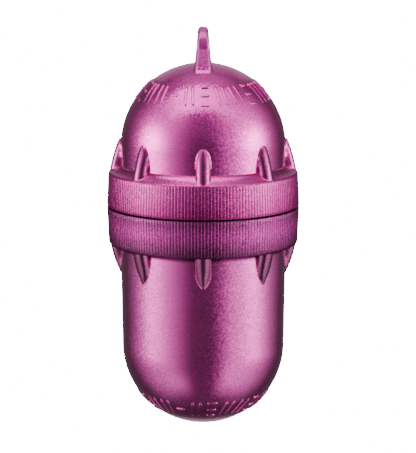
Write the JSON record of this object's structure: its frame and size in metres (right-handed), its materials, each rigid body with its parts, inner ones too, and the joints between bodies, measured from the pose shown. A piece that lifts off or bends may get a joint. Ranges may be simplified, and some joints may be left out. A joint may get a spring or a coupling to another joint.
{
  "type": "waterproof screw capsule",
  "caption": "Screw-together waterproof capsule with knurled grip rings, ribbed shoulders and a hanging ear on its domed cap.",
  "frame": {"origin": "lowest point of the body's round end, on the capsule's long axis", "axes": "+Z along the capsule's axis from the body to the ear; the ear's flat cheeks face +X and -X"},
  "size_m": [0.06, 0.06, 0.125],
  "materials": {
    "body_plastic": "magenta metal-flake plastic, glossy",
    "cap_plastic": "magenta metal-flake plastic, glossy",
    "seal_rubber": "matt black rubber"
  },
  "bodies": {
    "body": {"body_shell": "body_plastic"},
    "seal": {"seal_gasket": "seal_rubber"},
    "cap": {"cap_shell": "cap_plastic"}
  },
  "joints": [
    {"name": "cap_lift", "type": "slide", "parent": "body", "child": "seal", "axis": [0, 0, 1], "range_m": [0, 0.0121]},
    {"name": "cap_turn", "type": "hinge", "parent": "seal", "child": "cap", "pos_m": [0, 0, 0.0695], "axis": [0, 0, 1], "range_deg": [0, 720]}
  ],
  "couplings": [
    {"joint": "cap_lift", "follows": "cap_turn", "m_per_rad": 0.00095493}
  ]
}
